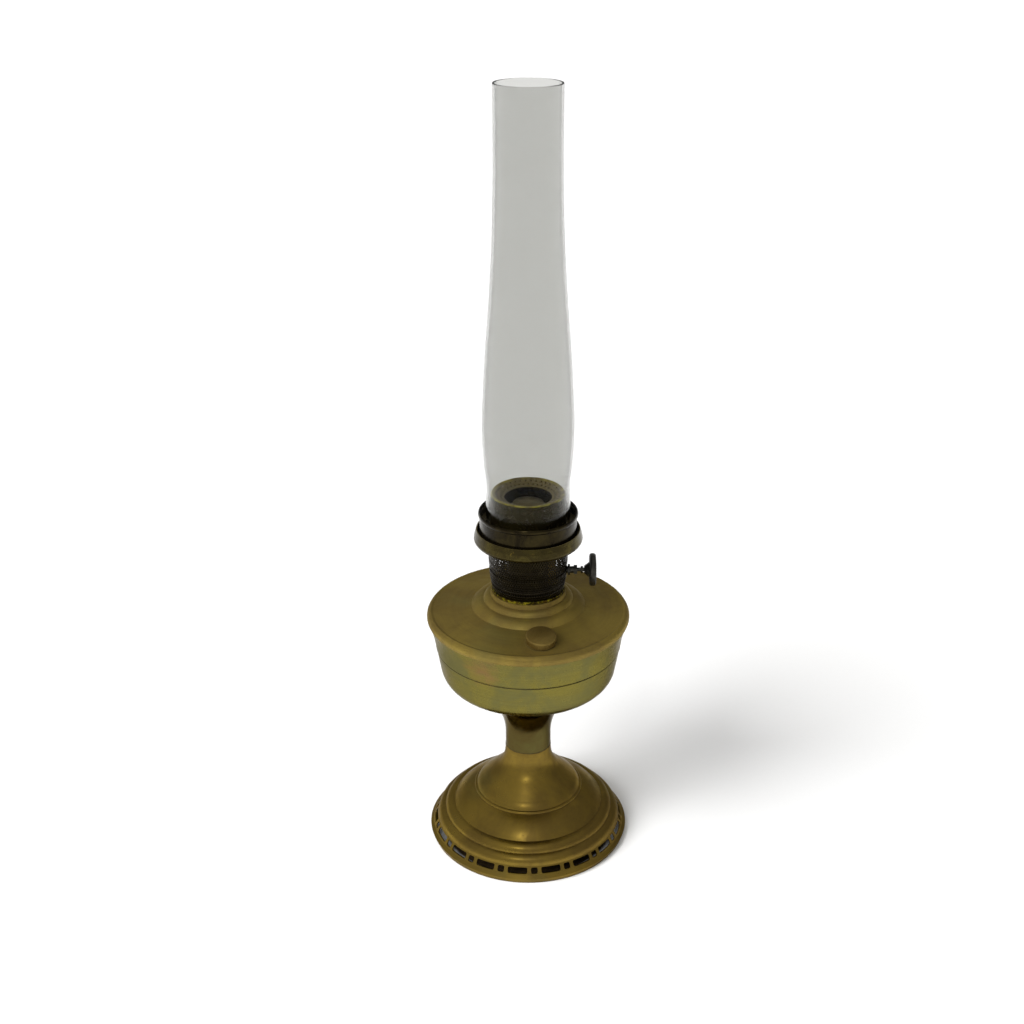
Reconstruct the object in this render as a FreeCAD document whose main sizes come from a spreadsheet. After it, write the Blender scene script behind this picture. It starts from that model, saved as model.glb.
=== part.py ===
import FreeCAD, Part
import math
import os
import re
import Sketcher

# A brass table lamp for paraffin with a round wick: a spun foot with air vents, a stem,
# a font with a filler cap, a centre-draught burner and a tall glass chimney.
#
# Frame: millimetres, +Z up, the origin on the lamp's axis in the plane that the foot
# stands on.  The wick knob points along +X and the filler cap lies towards -Y.
#
# Air enters through the vents of the foot, rises through the stem and the draft tube and
# feeds the flame from inside the round wick.  The knob turns a pinion that moves a rack,
# and the rack carries the wick up and down between the draft tube and its outer tube.

V = FreeCAD.Vector
UPRIGHT = FreeCAD.Placement(V(0, 0, 0), FreeCAD.Rotation(V(1, 0, 0), 90))
ALONG_X = FreeCAD.Rotation(V(0, 1, 0), 90)
AXIS = V(0, 0, 1)

VENTS = 18                 # pairs of one slot and one dot around the foot
BASKET_ROWS = 3            # rows of air holes around the burner's basket
BASKET_HOLES = 24          # holes in each row
DRUM_HOLES = 36            # holes in each ring of the gallery drum
SPREADER_HOLES = 12        # holes around the flame spreader
PINION_TEETH = 10
RACK_TEETH = 10
BAYONET_PINS = 4
CHIMNEY_SPRINGS = 4

SIZES = (
    ("foot_radius", 80.5, "foot: outside radius at the lip"),
    ("foot_lip_height", 4.2, "foot: height of the widest point"),
    ("foot_lip_inset", 1.4, "foot: the lip narrows this much down to the floor"),
    ("foot_hem", 4.0, "foot: width of the flat ring that it stands on"),
    ("foot_wall", 0.9, "foot: sheet thickness"),
    ("vent_band_radius", 78.0, "vents: radius at the lower edge of their band"),
    ("vent_band_low", 6.2, "vents: height of the band's lower edge"),
    ("vent_band_high", 12.2, "vents: height of the band's upper edge"),
    ("vent_band_inset", 3.8, "vents: the band narrows this much going up"),
    ("vent_height", 4.2, "vents: height of a slot and of a dot"),
    ("vent_slot_length", 15.4, "vents: length of a slot"),
    ("vent_dot_length", 5.2, "vents: length of a dot"),
    ("vent_corner", 1.2, "vents: corner radius"),
    ("vent_turn", 3.65, "vents: angle of the first dot from -Y, in degrees"),
    ("lower_bead_radius", 68.2, "foot: inner edge of the lower bead"),
    ("lower_bead_height", 19.4, "foot: height of that edge"),
    ("upper_bead_radius", 60.5, "foot: inner edge of the upper bead"),
    ("upper_bead_height", 25.4, "foot: height of that edge"),
    ("bead_round", 7.0, "foot: roundness of both beads"),
    ("dome_radius", 43.6, "foot: top of the dome, at the ridge"),
    ("dome_height", 38.4, "foot: height of that line"),
    ("dome_round", 40.0, "foot: roundness of the dome"),
    ("ridge_height", 40.6, "foot: top of the ridge above the dome"),
    ("ridge_width", 1.7, "foot: how far the ridge steps in"),
    ("ridge_round", 1.6, "foot: roundness of the ridge"),
    ("cone_radius", 37.4, "foot: faint line above the ridge"),
    ("cone_height", 46.2, "foot: height of that line"),
    ("cone_round", 16.0, "foot: roundness below that line"),
    ("sweep_radius", 27.0, "foot: start of the sweep up into the neck"),
    ("sweep_height", 56.0, "foot: height of that start"),
    ("sweep_round", 25.0, "foot: roundness of the sweep"),
    ("sweep_rise", 19.0, "foot: height of the sweep"),
    ("neck_radius", 18.3, "foot: outside radius of the neck"),
    ("foot_height", 78.6, "foot: height of the joint with the stem"),
    ("stem_radius", 18.1, "stem: outside radius of its straight part"),
    ("stem_straight", 11.4, "stem: length of its straight part"),
    ("stem_length", 46.4, "stem: whole length above the foot"),
    ("stem_top_radius", 32.5, "stem: outside radius under the font"),
    ("stem_round", 48.0, "stem: roundness of the flare"),
    ("stem_edge", 1.0, "stem: upright edge at the top"),
    ("stem_wall", 0.9, "stem: sheet thickness"),
    ("font_wall", 0.8, "font: sheet thickness"),
    ("font_floor_radius", 33.0, "font: radius of the flat floor"),
    ("font_underside_radius", 56.0, "font: outer end of the sloping underside"),
    ("font_underside_rise", 14.6, "font: rise of the sloping underside"),
    ("font_turn_radius", 68.4, "font: radius where the wall begins"),
    ("font_turn_rise", 27.6, "font: height of that line over the floor"),
    ("font_turn_round", 16.0, "font: roundness between underside and wall"),
    ("font_seam_radius", 71.6, "font: radius at the seam around the wall"),
    ("font_seam_rise", 46.2, "font: height of the seam over the floor"),
    ("font_seam_step", 0.5, "font: the wall steps out this much at the seam"),
    ("font_seam_groove", 0.45, "font: depth of the groove under the step"),
    ("font_edge_radius", 76.75, "font: radius of the wall's upper edge"),
    ("font_edge_rise", 69.5, "font: height of the upper edge over the floor"),
    ("font_upright", 1.0, "font: upright part below the upper edge"),
    ("font_wall_round", 90.0, "font: hollow curve of the upper wall"),
    ("rim_overhang", 0.75, "font top: the rim's lower edge stands out this much"),
    ("rim_round", 4.9, "font top: roundness of the rim"),
    ("rim_rise", 7.3, "font top: height of the rim"),
    ("rim_inset", 1.6, "font top: the rim's upper edge, inside the font's edge"),
    ("rim_groove_width", 1.8, "font top: width of the groove inside the rim"),
    ("rim_groove_depth", 0.4, "font top: depth of that groove"),
    ("slope_radius", 44.0, "font top: inner end of the long slope"),
    ("slope_rise", 11.5, "font top: height of that end over the font's edge"),
    ("outer_ring_radius", 34.6, "font top: inner edge of the first raised ring"),
    ("outer_ring_rise", 16.5, "font top: height of that edge"),
    ("outer_ring_round", 12.0, "font top: roundness of the first ring"),
    ("ring_step", 0.9, "font top: small step between the rings"),
    ("inner_ring_radius", 29.2, "font top: inner edge of the second ring"),
    ("inner_ring_rise", 20.4, "font top: height of that edge"),
    ("inner_ring_round", 5.0, "font top: roundness of the second ring"),
    ("font_neck_radius", 28.6, "font top: radius of the short neck"),
    ("font_neck_rise", 24.0, "font top: height of the neck's end over the font's edge"),
    ("collar_radius", 26.4, "collar: outside radius in the font's neck"),
    ("collar_bore", 24.3, "collar: bore radius"),
    ("collar_depth", 8.6, "collar: length below its flange"),
    ("collar_flange_radius", 27.6, "collar: flange radius"),
    ("collar_flange", 0.8, "collar: flange thickness"),
    ("draft_tube_radius", 12.5, "draft tube: outside radius"),
    ("draft_tube_wall", 0.7, "draft tube: wall"),
    ("draft_tube_top", 286.0, "draft tube: height of its upper end"),
    ("filler_offset", 57.7, "filler: distance of its centre from the axis"),
    ("filler_turn", 9.3, "filler: angle from -Y towards +X, in degrees"),
    ("filler_radius", 8.4, "filler: outside radius of the neck"),
    ("filler_bore", 7.1, "filler: bore radius of the neck"),
    ("filler_height", 4.4, "filler: height of the neck over the font"),
    ("filler_root", 3.0, "filler: length of the neck inside the font"),
    ("filler_flange_radius", 10.2, "filler: radius of the neck's flange"),
    ("filler_flange", 0.5, "filler: thickness of the flange"),
    ("gasket_thickness", 0.7, "filler gasket: thickness"),
    ("cap_radius", 11.4, "filler cap: outside radius"),
    ("cap_top", 1.0, "filler cap: thickness of its edge above the gasket"),
    ("cap_rise", 1.5, "filler cap: height of its dome"),
    ("cap_gap", 0.35, "filler cap: gap over the neck's flange"),
    ("cap_round", 1.3, "filler cap: rounded edge"),
    ("base_skirt_wall", 0.9, "burner base: wall of its threaded skirt"),
    ("base_skirt", 7.6, "burner base: length of the skirt"),
    ("base_flange_radius", 27.9, "burner base: flange radius"),
    ("base_flange", 1.4, "burner base: flange thickness"),
    ("basket_foot_inset", 2.8, "basket: it narrows this much down to its bottom"),
    ("basket_knee_inset", 0.9, "basket: it narrows this much down to its knee"),
    ("basket_knee_rise", 9.5, "basket: height of the knee over the base"),
    ("basket_radius", 30.2, "basket: outside radius of the upper part"),
    ("basket_band_rise", 25.0, "basket: height where the wall turns upright"),
    ("basket_height", 38.2, "basket: whole height over the base"),
    ("basket_wall", 0.8, "basket: sheet thickness"),
    ("basket_hole_radius", 0.9, "basket: radius of an air hole"),
    ("basket_hole_low", 22.4, "basket: height of the lower row of holes over the base"),
    ("basket_hole_pitch", 4.2, "basket: distance between the rows of holes"),
    ("wick_tube_radius", 16.6, "outer wick tube: outside radius"),
    ("wick_tube_wall", 0.6, "outer wick tube: wall"),
    ("wick_tube_bottom", 206.0, "outer wick tube: height of its lower end"),
    ("wick_tube_top", 285.0, "outer wick tube: height of its upper end"),
    ("floor_thickness", 0.8, "burner floor: thickness"),
    ("spindle_height", 234.5, "spindle: height of its axis"),
    ("spindle_radius", 1.5, "spindle: radius"),
    ("spindle_start", 17.8, "spindle: distance of its inner end from the lamp's axis"),
    ("gland_radius", 2.6, "gland: radius of its barrel"),
    ("gland_flange_radius", 4.2, "gland: radius of its flange"),
    ("gland_flange", 1.7, "gland: thickness of its flange"),
    ("gland_sink", 0.5, "gland: depth of its seat below the basket's outside"),
    ("gland_length", 5.2, "gland: length outside the basket, flange and all"),
    ("gland_nut_radius", 3.9, "gland nut: radius over its corners"),
    ("gland_nut_length", 2.4, "gland nut: length"),
    ("spindle_collar_radius", 2.7, "spindle: radius of the collar near the knob"),
    ("spindle_collar_reach", 10.0, "spindle: distance of the collar from the basket"),
    ("spindle_collar_length", 1.6, "spindle: length of the collar"),
    ("knob_reach", 12.6, "knob: distance of its hub from the basket"),
    ("knob_hub_radius", 3.0, "knob: radius at the hub's small end"),
    ("knob_hub_length", 3.9, "knob: length of the conical hub"),
    ("knob_radius", 12.6, "knob: radius of the disc"),
    ("knob_thickness", 5.0, "knob: thickness of the disc at its rim"),
    ("knob_round", 2.0, "knob: rounded rim"),
    ("knob_dish", 0.9, "knob: depth of the hollow in its outer face"),
    ("rivet_radius", 2.6, "knob rivet: head radius"),
    ("rivet_height", 1.1, "knob rivet: head height"),
    ("pinion_gap", 0.5, "pinion: distance from the outer wick tube"),
    ("pinion_length", 4.0, "pinion: length along the spindle"),
    ("tooth_module", 0.7, "pinion and rack: module of the teeth"),
    ("tooth_backlash", 0.3, "pinion and rack: play between the teeth"),
    ("rack_gap", 0.15, "rack: extra distance of the rack from the pinion"),
    ("rack_back", 1.5, "rack: thickness behind the teeth"),
    ("rack_slot_gap", 0.5, "rack: gap around it in the slot of the outer wick tube"),
    ("wick_travel_up", 6.0, "wick: travel above the rest height"),
    ("wick_travel_down", 8.0, "wick: travel below the rest height"),
    ("carrier_wall", 0.4, "wick carrier: wall"),
    ("carrier_gap", 0.2, "wick carrier: gap in the outer wick tube"),
    ("carrier_length", 30.0, "wick carrier: length"),
    ("wick_gap", 0.3, "wick: gap around the draft tube"),
    ("wick_bottom", 150.0, "wick: height of its lower end in the font"),
    ("wick_top", 287.0, "wick: height of its upper end"),
    ("saucer_gap", 0.3, "gallery: gap over the basket's edge"),
    ("saucer_radius", 41.2, "gallery saucer: widest radius"),
    ("saucer_floor_radius", 38.4, "gallery saucer: radius of its flat underside"),
    ("saucer_widest", 3.4, "gallery saucer: height of the widest line"),
    ("saucer_round", 3.6, "gallery saucer: roundness below that line"),
    ("saucer_ridge_radius", 40.5, "gallery saucer: radius of the ridge"),
    ("saucer_ridge", 6.6, "gallery saucer: height of the ridge"),
    ("saucer_lip_radius", 39.3, "gallery saucer: radius of the lip"),
    ("saucer_height", 10.8, "gallery saucer: height of the lip"),
    ("saucer_wall", 0.8, "gallery saucer: sheet thickness"),
    ("cup_radius", 36.7, "chimney cup: outside radius"),
    ("cup_height", 24.2, "chimney cup: height over the saucer's floor"),
    ("cup_lip", 3.8, "chimney cup: height of the rolled lip"),
    ("cup_lip_round", 2.6, "chimney cup: roundness of the lip"),
    ("cup_wall", 0.8, "chimney cup: sheet thickness"),
    ("seat_height", 276.0, "chimney seat: height that the glass stands at"),
    ("seat_thickness", 0.8, "chimney seat: thickness"),
    ("drum_gap", 0.9, "gallery drum: gap between its skirt and the basket's wall"),
    ("drum_top_inset", 0.45, "gallery drum: it narrows this much up to its rim"),
    ("drum_top", 300.0, "gallery drum: height of the rim"),
    ("drum_round", 1.2, "gallery drum: roundness of the rim"),
    ("drum_mouth_radius", 17.9, "gallery drum: radius of the mouth"),
    ("drum_dip", 4.0, "gallery drum: depth of the mouth below the rim"),
    ("drum_skirt", 3.8, "gallery drum: length inside the basket"),
    ("drum_wall", 0.6, "gallery drum: sheet thickness"),
    ("drum_hole_radius", 0.75, "gallery drum: radius of a hole"),
    ("drum_hole_inner", 20.4, "gallery drum: radius of the inner ring of holes"),
    ("drum_hole_outer", 23.6, "gallery drum: radius of the outer ring of holes"),
    ("drum_hole_drop", 4.6, "gallery drum: holes in its wall, below the rim"),
    ("pin_radius", 0.8, "bayonet pins: radius"),
    ("pin_reach", 2.0, "bayonet pins: how far they stand into the basket"),
    ("pin_drop", 2.0, "bayonet pins: distance below the basket's edge"),
    ("bayonet_turn", 25.0, "bayonet: angle that the gallery turns, in degrees"),
    ("bayonet_gap", 0.3, "bayonet: gap around a pin in its slot"),
    ("spring_thickness", 0.4, "chimney springs: sheet thickness"),
    ("spring_width", 6.0, "chimney springs: width"),
    ("spring_height", 7.4, "chimney springs: height"),
    ("spring_gap", 0.3, "chimney springs: gap to the glass at rest"),
    ("glass_wall", 1.6, "chimney: wall"),
    ("glass_bead", 0.6, "chimney: rounded edge of the fire-polished top"),
    ("chimney_height", 317.5, "chimney: whole height"),
    ("chimney_foot_radius", 31.7, "chimney: outside radius at the bottom"),
    ("chimney_foot_rise", 15.0, "chimney: height of the foot"),
    ("chimney_neck_radius", 31.9, "chimney: outside radius above the neck"),
    ("chimney_neck_rise", 39.0, "chimney: height of that line"),
    ("chimney_neck_round", 90.0, "chimney: hollow curve of the neck"),
    ("chimney_bulge_radius", 33.1, "chimney: outside radius above the bulge"),
    ("chimney_bulge_rise", 97.0, "chimney: height of that line"),
    ("chimney_bulge_round", 305.0, "chimney: roundness of the bulge"),
    ("chimney_shoulder_radius", 29.5, "chimney: outside radius below the taper"),
    ("chimney_shoulder_rise", 151.0, "chimney: height of that line"),
    ("chimney_shoulder_round", 1220.0, "chimney: roundness of the shoulder"),
    ("chimney_taper_radius", 24.4, "chimney: outside radius above the taper"),
    ("chimney_taper_rise", 244.0, "chimney: height of that line"),
    ("chimney_taper_round", 1480.0, "chimney: hollow curve of the taper"),
    ("chimney_top_radius", 24.0, "chimney: outside radius at the top"),
    ("chimney_straight_rise", 270.0, "chimney: start of the straight top"),
    ("spreader_gap", 0.1, "flame spreader: gap in the draft tube"),
    ("spreader_plug", 12.0, "flame spreader: length in the draft tube"),
    ("spreader_rise", 5.0, "flame spreader: height over the draft tube"),
    ("spreader_wall", 0.5, "flame spreader: wall"),
    ("spreader_hole_radius", 0.7, "flame spreader: radius of a hole"),
    ("close_gap", 0.05, "small gap between pieces that meet but can part"),
    ("thread_gap", 0.1, "radial gap of a screw thread, made as plain cylinders"),
    ("bearing_gap", 0.05, "radial gap of the spindle in its gland"),
    ("gland_root", 1.6, "gland: length of its barrel inside the basket"),
    ("pressure_angle", 20.0, "pinion and rack: pressure angle, in degrees"),
    ("spreader_dome", 1.6, "flame spreader: height of its dome"),
)

doc = FreeCAD.newDocument("table_lamp")
sheet = doc.addObject("Spreadsheet::Sheet", "Sizes")
for row, (alias, size, note) in enumerate(SIZES, start=1):
    sheet.set(f"A{row}", note)
    sheet.set(f"B{row}", str(size))
    sheet.setAlias(f"B{row}", alias)
doc.recompute()
ALIASES = {alias for alias, size, note in SIZES}
NODES = {}


def formula(text):
    """A formula in the sheet's names, written as an expression that reads the sheet."""
    def name(word):
        return "Sizes." + word[0] if word[0] in ALIASES else word[0]
    return re.sub(r"[a-z_]*[a-z]", name, str(text))


def number(text):
    """The present value of such a formula."""
    return float(sheet.evalExpression(formula(text)))


def tie(thing, **formulas):
    """Bind properties of an object to formulas."""
    for prop, text in formulas.items():
        thing.setExpression(prop, formula(text))


def node(name, thing):
    """Name a finished sub-part."""
    thing.Label = name
    NODES[name] = thing
    return thing


def arc_between(start, end, radius):
    """An arc from start to end; a positive radius turns left on the way, a negative right."""
    middle = (start + end) * 0.5
    chord = end - start
    half = chord.Length / 2
    size = max(abs(radius), half * 1.0001)
    aside = V(-chord.y, chord.x, 0).normalize() * math.sqrt(size * size - half * half)
    centre = middle + aside if radius > 0 else middle - aside
    first, last = (start, end) if radius > 0 else (end, start)
    angles = [math.atan2(point.y - centre.y, point.x - centre.x) for point in (first, last)]
    if angles[1] < angles[0]:
        angles[1] += 2 * math.pi
    return Part.ArcOfCircle(Part.Circle(centre, AXIS, size), *angles)


def crown(across, rise):
    """The radius of a dome that rises this much over a rim this far from its axis."""
    return f"((({across})^2 + ({rise})^2) / (2 * ({rise})))"


def draw(sketch, points, closed):
    """Draw an outline and tie each point and arc of it to the sheet.

    A point is (across, up), and a line leads to it; (across, up, radius) is reached by an
    arc instead.  The first point starts the outline.
    """
    places = [V(number(point[0]), number(point[1]), 0) for point in points]
    if closed:
        points = points + [points[0][:2]]
        places = places + [places[0]]
    ends = []
    for (start, end), target in zip(zip(places, places[1:]), points[1:]):
        if len(target) == 3:
            turn = number(target[2])
            edge = sketch.addGeometry(arc_between(start, end, turn), False)
            ends.append((edge, 1, 2) if turn > 0 else (edge, 2, 1))
        else:
            edge = sketch.addGeometry(Part.LineSegment(start, end), False)
            ends.append((edge, 1, 2))
    pairs = list(zip(ends, ends[1:]))
    if closed:
        pairs.append((ends[-1], ends[0]))
    for before, after in pairs:
        sketch.addConstraint(Sketcher.Constraint("Coincident", before[0], before[2],
                                                 after[0], after[1]))
    corners = [(ends[0][0], ends[0][1], points[0], places[0])]
    last = len(ends) - 1 if closed else len(ends)
    for edge, target, place in zip(ends[:last], points[1:], places[1:]):
        corners.append((edge[0], edge[2], target, place))
    for edge, end, target, place in corners:
        for kind, text, size in (("DistanceX", target[0], place.x),
                                 ("DistanceY", target[1], place.y)):
            index = sketch.addConstraint(Sketcher.Constraint(kind, -1, 1, edge, end, size))
            sketch.setExpression(f"Constraints[{index}]", formula(text))
    for edge, target in zip(ends, points[1:]):
        if len(target) == 3:
            size = abs(number(target[2]))
            index = sketch.addConstraint(Sketcher.Constraint("Radius", edge[0], size))
            sketch.setExpression(f"Constraints[{index}]", f"abs({formula(target[2])})")


def spun(name, points, wall):
    """A sheet-metal or glass shell: an outside outline, thickened inwards and revolved."""
    path = doc.addObject("Sketcher::SketchObject", name + "_outline")
    path.Placement = UPRIGHT
    draw(path, points, closed=False)
    doc.recompute()
    skin = doc.addObject("Part::Offset2D", name + "_skin")
    skin.Source = path
    skin.Mode = "Skin"
    skin.Fill = True
    skin.setExpression("Value", formula(wall))
    # The inside corners are mitred where the offset allows it and rounded where it doesn't.
    for corner in ("Intersection", "Tangent", "Arc"):
        skin.Join = corner
        doc.recompute()
        if "Invalid" not in skin.State and not skin.Shape.isNull():
            break
    turned = doc.addObject("Part::Revolution", name + "_turned")
    turned.Source = skin
    turned.Axis = AXIS
    turned.Angle = 360
    turned.Solid = True
    doc.recompute()
    return turned


def body_of(name, base=None):
    """A PartDesign body, empty or starting from a shape made before."""
    body = doc.addObject("PartDesign::Body", name + "_body")
    body.AllowCompound = True
    if base:
        body.BaseFeature = base
    doc.recompute()
    return body


def plane_sketch(body, name, role, turn=0):
    """A sketch on one of the body's own planes, turned about the lamp's axis."""
    sketch = body.newObject("Sketcher::SketchObject", name)
    plane = [item for item in body.Origin.OriginFeatures if item.Role == role][0]
    sketch.AttachmentSupport = [(plane, "")]
    sketch.MapMode = "FlatFace"
    if turn:
        sketch.setExpression("AttachmentOffset.Rotation.Angle", formula(turn))
        sketch.AttachmentOffset = FreeCAD.Placement(V(0, 0, 0),
                                                    FreeCAD.Rotation(V(0, 1, 0), number(turn)))
    return sketch


def lathe(name, points):
    """A solid of revolution about +Z from a closed half section."""
    body = body_of(name)
    section = plane_sketch(body, name + "_section", "XZ_Plane")
    draw(section, points, closed=True)
    turned = body.newObject("PartDesign::Revolution", name + "_revolution")
    turned.Profile = section
    turned.ReferenceAxis = (section, ["V_Axis"])
    turned.Angle = 360
    body.Tip = turned
    doc.recompute()
    return body


def ring_section(inside, outside, low, high):
    """The half section of a plain ring."""
    return [(inside, low), (outside, low), (outside, high), (inside, high)]


def drill(body, name, sketch, length):
    """A pocket from the sketch's plane towards -Y, checked to remove something."""
    before = body.Shape.Volume
    pocket = body.newObject("PartDesign::Pocket", name)
    pocket.Profile = sketch
    pocket.Type = "Length"
    tie(pocket, Length=length)
    pocket.Reversed = True
    pocket.Refine = False
    body.Tip = pocket
    doc.recompute()
    if body.Shape.Volume > before - 0.01:
        raise ValueError(name + " removes nothing")
    return pocket


def around(body, name, features, count):
    """Repeat features around the body's own Z axis."""
    pattern = body.newObject("PartDesign::PolarPattern", name)
    pattern.Originals = features
    axis = [item for item in body.Origin.OriginFeatures if item.Role == "Z_Axis"][0]
    pattern.Axis = (axis, [""])
    pattern.Angle = 360
    pattern.Occurrences = count
    pattern.Refine = False
    body.Tip = pattern
    doc.recompute()
    return pattern


def holes(sketch, centres, radius):
    """Round holes of one radius, each centre tied to the sheet."""
    for across, up in centres:
        place = V(number(across), number(up), 0)
        edge = sketch.addGeometry(Part.Circle(place, AXIS, number(radius)), False)
        for kind, text, size in (("DistanceX", across, place.x), ("DistanceY", up, place.y)):
            index = sketch.addConstraint(Sketcher.Constraint(kind, -1, 1, edge, 3, size))
            sketch.setExpression(f"Constraints[{index}]", formula(text))
        index = sketch.addConstraint(Sketcher.Constraint("Radius", edge, number(radius)))
        sketch.setExpression(f"Constraints[{index}]", formula(radius))


def radial_holes(name, count, turn, height, radius, wall):
    """Cylinders that point out from the lamp's axis, to cut a ring of holes in a wall.

    They reach from four fifths of the wall's radius to a little past it.
    """
    tools = []
    for place in range(count):
        tool = doc.addObject("Part::Cylinder", f"{name}_{place + 1}")
        tie(tool, Radius=radius, Height=f"0.3 * {wall}")
        angle = turn + 360 / count * place
        way = FreeCAD.Rotation(AXIS, angle).multiply(ALONG_X)
        tool.Placement = FreeCAD.Placement(V(0, 0, 0), way)
        tool.setExpression("Placement.Base.x", formula(f"0.8 * {wall} * cos({angle})"))
        tool.setExpression("Placement.Base.y", formula(f"0.8 * {wall} * sin({angle})"))
        tool.setExpression("Placement.Base.z", formula(height))
        tools.append(tool)
    return tools


def upright_holes(name, count, turn, circle, low, height, radius):
    """Upright cylinders on a circle around the lamp's axis."""
    tools = []
    for place in range(count):
        tool = doc.addObject("Part::Cylinder", f"{name}_{place + 1}")
        tie(tool, Radius=radius, Height=height)
        angle = turn + 360 / count * place
        tool.setExpression("Placement.Base.x", formula(f"({circle}) * cos({angle})"))
        tool.setExpression("Placement.Base.y", formula(f"({circle}) * sin({angle})"))
        tool.setExpression("Placement.Base.z", formula(low))
        tools.append(tool)
    return tools


def together(name, tools):
    """One compound of pieces that don't touch each other."""
    group = doc.addObject("Part::Compound", name)
    group.Links = tools
    return group


def rounded_slot(sketch, length, height, centre, corner):
    """A rectangle with rounded corners, centred on x = 0."""
    left, right = f"-({length}) / 2", f"({length}) / 2"
    low, high = f"({centre}) - ({height}) / 2", f"({centre}) + ({height}) / 2"
    draw(sketch, [(f"{left} + {corner}", low),
                  (f"{right} - {corner}", low),
                  (right, f"{low} + {corner}", corner),
                  (right, f"{high} - {corner}"),
                  (f"{right} - {corner}", high, corner),
                  (f"{left} + {corner}", high),
                  (left, f"{high} - {corner}", corner),
                  (left, f"{low} + {corner}"),
                  (f"{left} + {corner}", low, corner)][:-1], closed=False)
    # The last corner closes the outline.
    start = V(number(left), number(f"{low} + {corner}"), 0)
    end = V(number(f"{left} + {corner}"), number(low), 0)
    edge = sketch.addGeometry(arc_between(start, end, number(corner)), False)
    sketch.addConstraint(Sketcher.Constraint("Coincident", edge - 1, 2, edge, 1))
    sketch.addConstraint(Sketcher.Constraint("Coincident", edge, 2, 0, 1))
    index = sketch.addConstraint(Sketcher.Constraint("Radius", edge, number(corner)))
    sketch.setExpression(f"Constraints[{index}]", formula(corner))


# ---- foot -----------------------------------------------------------------------------

def make_foot():
    shell = spun("foot", [
        ("foot_radius - foot_lip_inset - foot_hem", "0"),
        ("foot_radius - foot_lip_inset", "0"),
        ("foot_radius", "foot_lip_height"),
        ("vent_band_radius", "vent_band_low"),
        ("vent_band_radius - vent_band_inset", "vent_band_high"),
        ("lower_bead_radius", "lower_bead_height", "bead_round"),
        ("upper_bead_radius", "upper_bead_height", "bead_round"),
        ("dome_radius", "dome_height", "dome_round"),
        ("dome_radius - ridge_width", "ridge_height", "ridge_round"),
        ("cone_radius", "cone_height", "cone_round"),
        ("sweep_radius", "sweep_height"),
        ("neck_radius", "sweep_height + sweep_rise", "-sweep_round"),
        ("neck_radius", "foot_height"),
    ], "foot_wall")
    body = body_of("foot", shell)
    centre = "(vent_band_low + vent_band_high) / 2"
    for name, length, turn in (("dot", "vent_dot_length", "vent_turn"),
                               ("slot", "vent_slot_length", f"vent_turn + 180 / {VENTS}")):
        sketch = plane_sketch(body, "vent_" + name, "XZ_Plane", turn)
        rounded_slot(sketch, length, "vent_height", centre, "vent_corner")
        doc.recompute()
        cut = drill(body, name + "_cut", sketch, "foot_radius + foot_wall")
        around(body, name + "_ring", [cut], VENTS)
    node("foot", body)


def make_stem():
    shell = spun("stem", [
        ("stem_radius", "foot_height"),
        ("stem_radius", "foot_height + stem_straight"),
        ("stem_top_radius", "foot_height + stem_length - stem_edge", "-stem_round"),
        ("stem_top_radius", "foot_height + stem_length"),
    ], "stem_wall")
    node("stem", shell)


# ---- font -----------------------------------------------------------------------------

FLOOR = "foot_height + stem_length"
EDGE = f"{FLOOR} + font_edge_rise"
NECK_TOP = f"{EDGE} + font_neck_rise"
COLLAR_TOP = f"{NECK_TOP} + collar_flange"
BASE_TOP = f"{COLLAR_TOP} + base_flange"


def make_font_bowl():
    shell = spun("font_bowl", [
        ("draft_tube_radius", FLOOR),
        ("font_floor_radius", FLOOR),
        ("font_underside_radius", f"{FLOOR} + font_underside_rise"),
        ("font_turn_radius", f"{FLOOR} + font_turn_rise", "font_turn_round"),
        ("font_seam_radius", f"{FLOOR} + font_seam_rise"),
        ("font_seam_radius - font_seam_groove", f"{FLOOR} + font_seam_rise + font_seam_groove"),
        ("font_seam_radius + font_seam_step",
         f"{FLOOR} + font_seam_rise + 2 * font_seam_groove + font_seam_step"),
        ("font_edge_radius", f"{EDGE} - font_upright", "-font_wall_round"),
        ("font_edge_radius", EDGE),
    ], "font_wall")
    node("font_bowl", shell)


SLOPE_OUTER = "(font_edge_radius - rim_inset - rim_groove_width)"
SLOPE_LOW = f"({EDGE} + rim_rise - rim_groove_depth)"
SLOPE_HIGH = f"({EDGE} + slope_rise)"
FILLER_TILT = f"(atan(({SLOPE_HIGH} - {SLOPE_LOW}) / ({SLOPE_OUTER} - slope_radius)) / 1 deg)"


def at_filler(thing, drop="0"):
    """Stand a piece on the font's slope, its own Z axis along the filler's axis."""
    across = V(number("cos(filler_turn)"), number("sin(filler_turn)"), 0)
    thing.Placement = FreeCAD.Placement(V(0, 0, 0),
                                        FreeCAD.Rotation(across, number(FILLER_TILT)))
    reach = f"(filler_offset - ({drop}) * sin({FILLER_TILT}))"
    share = f"({SLOPE_OUTER} - filler_offset) / ({SLOPE_OUTER} - slope_radius)"
    height = f"{SLOPE_LOW} + {share} * ({SLOPE_HIGH} - {SLOPE_LOW})"
    thing.setExpression("Placement.Base.x", formula(f"{reach} * sin(filler_turn)"))
    thing.setExpression("Placement.Base.y", formula(f"-{reach} * cos(filler_turn)"))
    thing.setExpression("Placement.Base.z", formula(f"{height} - ({drop}) * cos({FILLER_TILT})"))
    thing.setExpression("Placement.Rotation.Angle", formula(FILLER_TILT))
    return thing


def cut(name, base, tool):
    """One shape less another, checked to remove something."""
    doc.recompute()
    before = base.Shape.Volume
    result = doc.addObject("Part::Cut", name)
    result.Base = base
    result.Tool = tool
    result.Refine = False
    doc.recompute()
    if result.Shape.Volume > before - 0.01:
        raise ValueError(name + " removes nothing")
    return result


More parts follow.
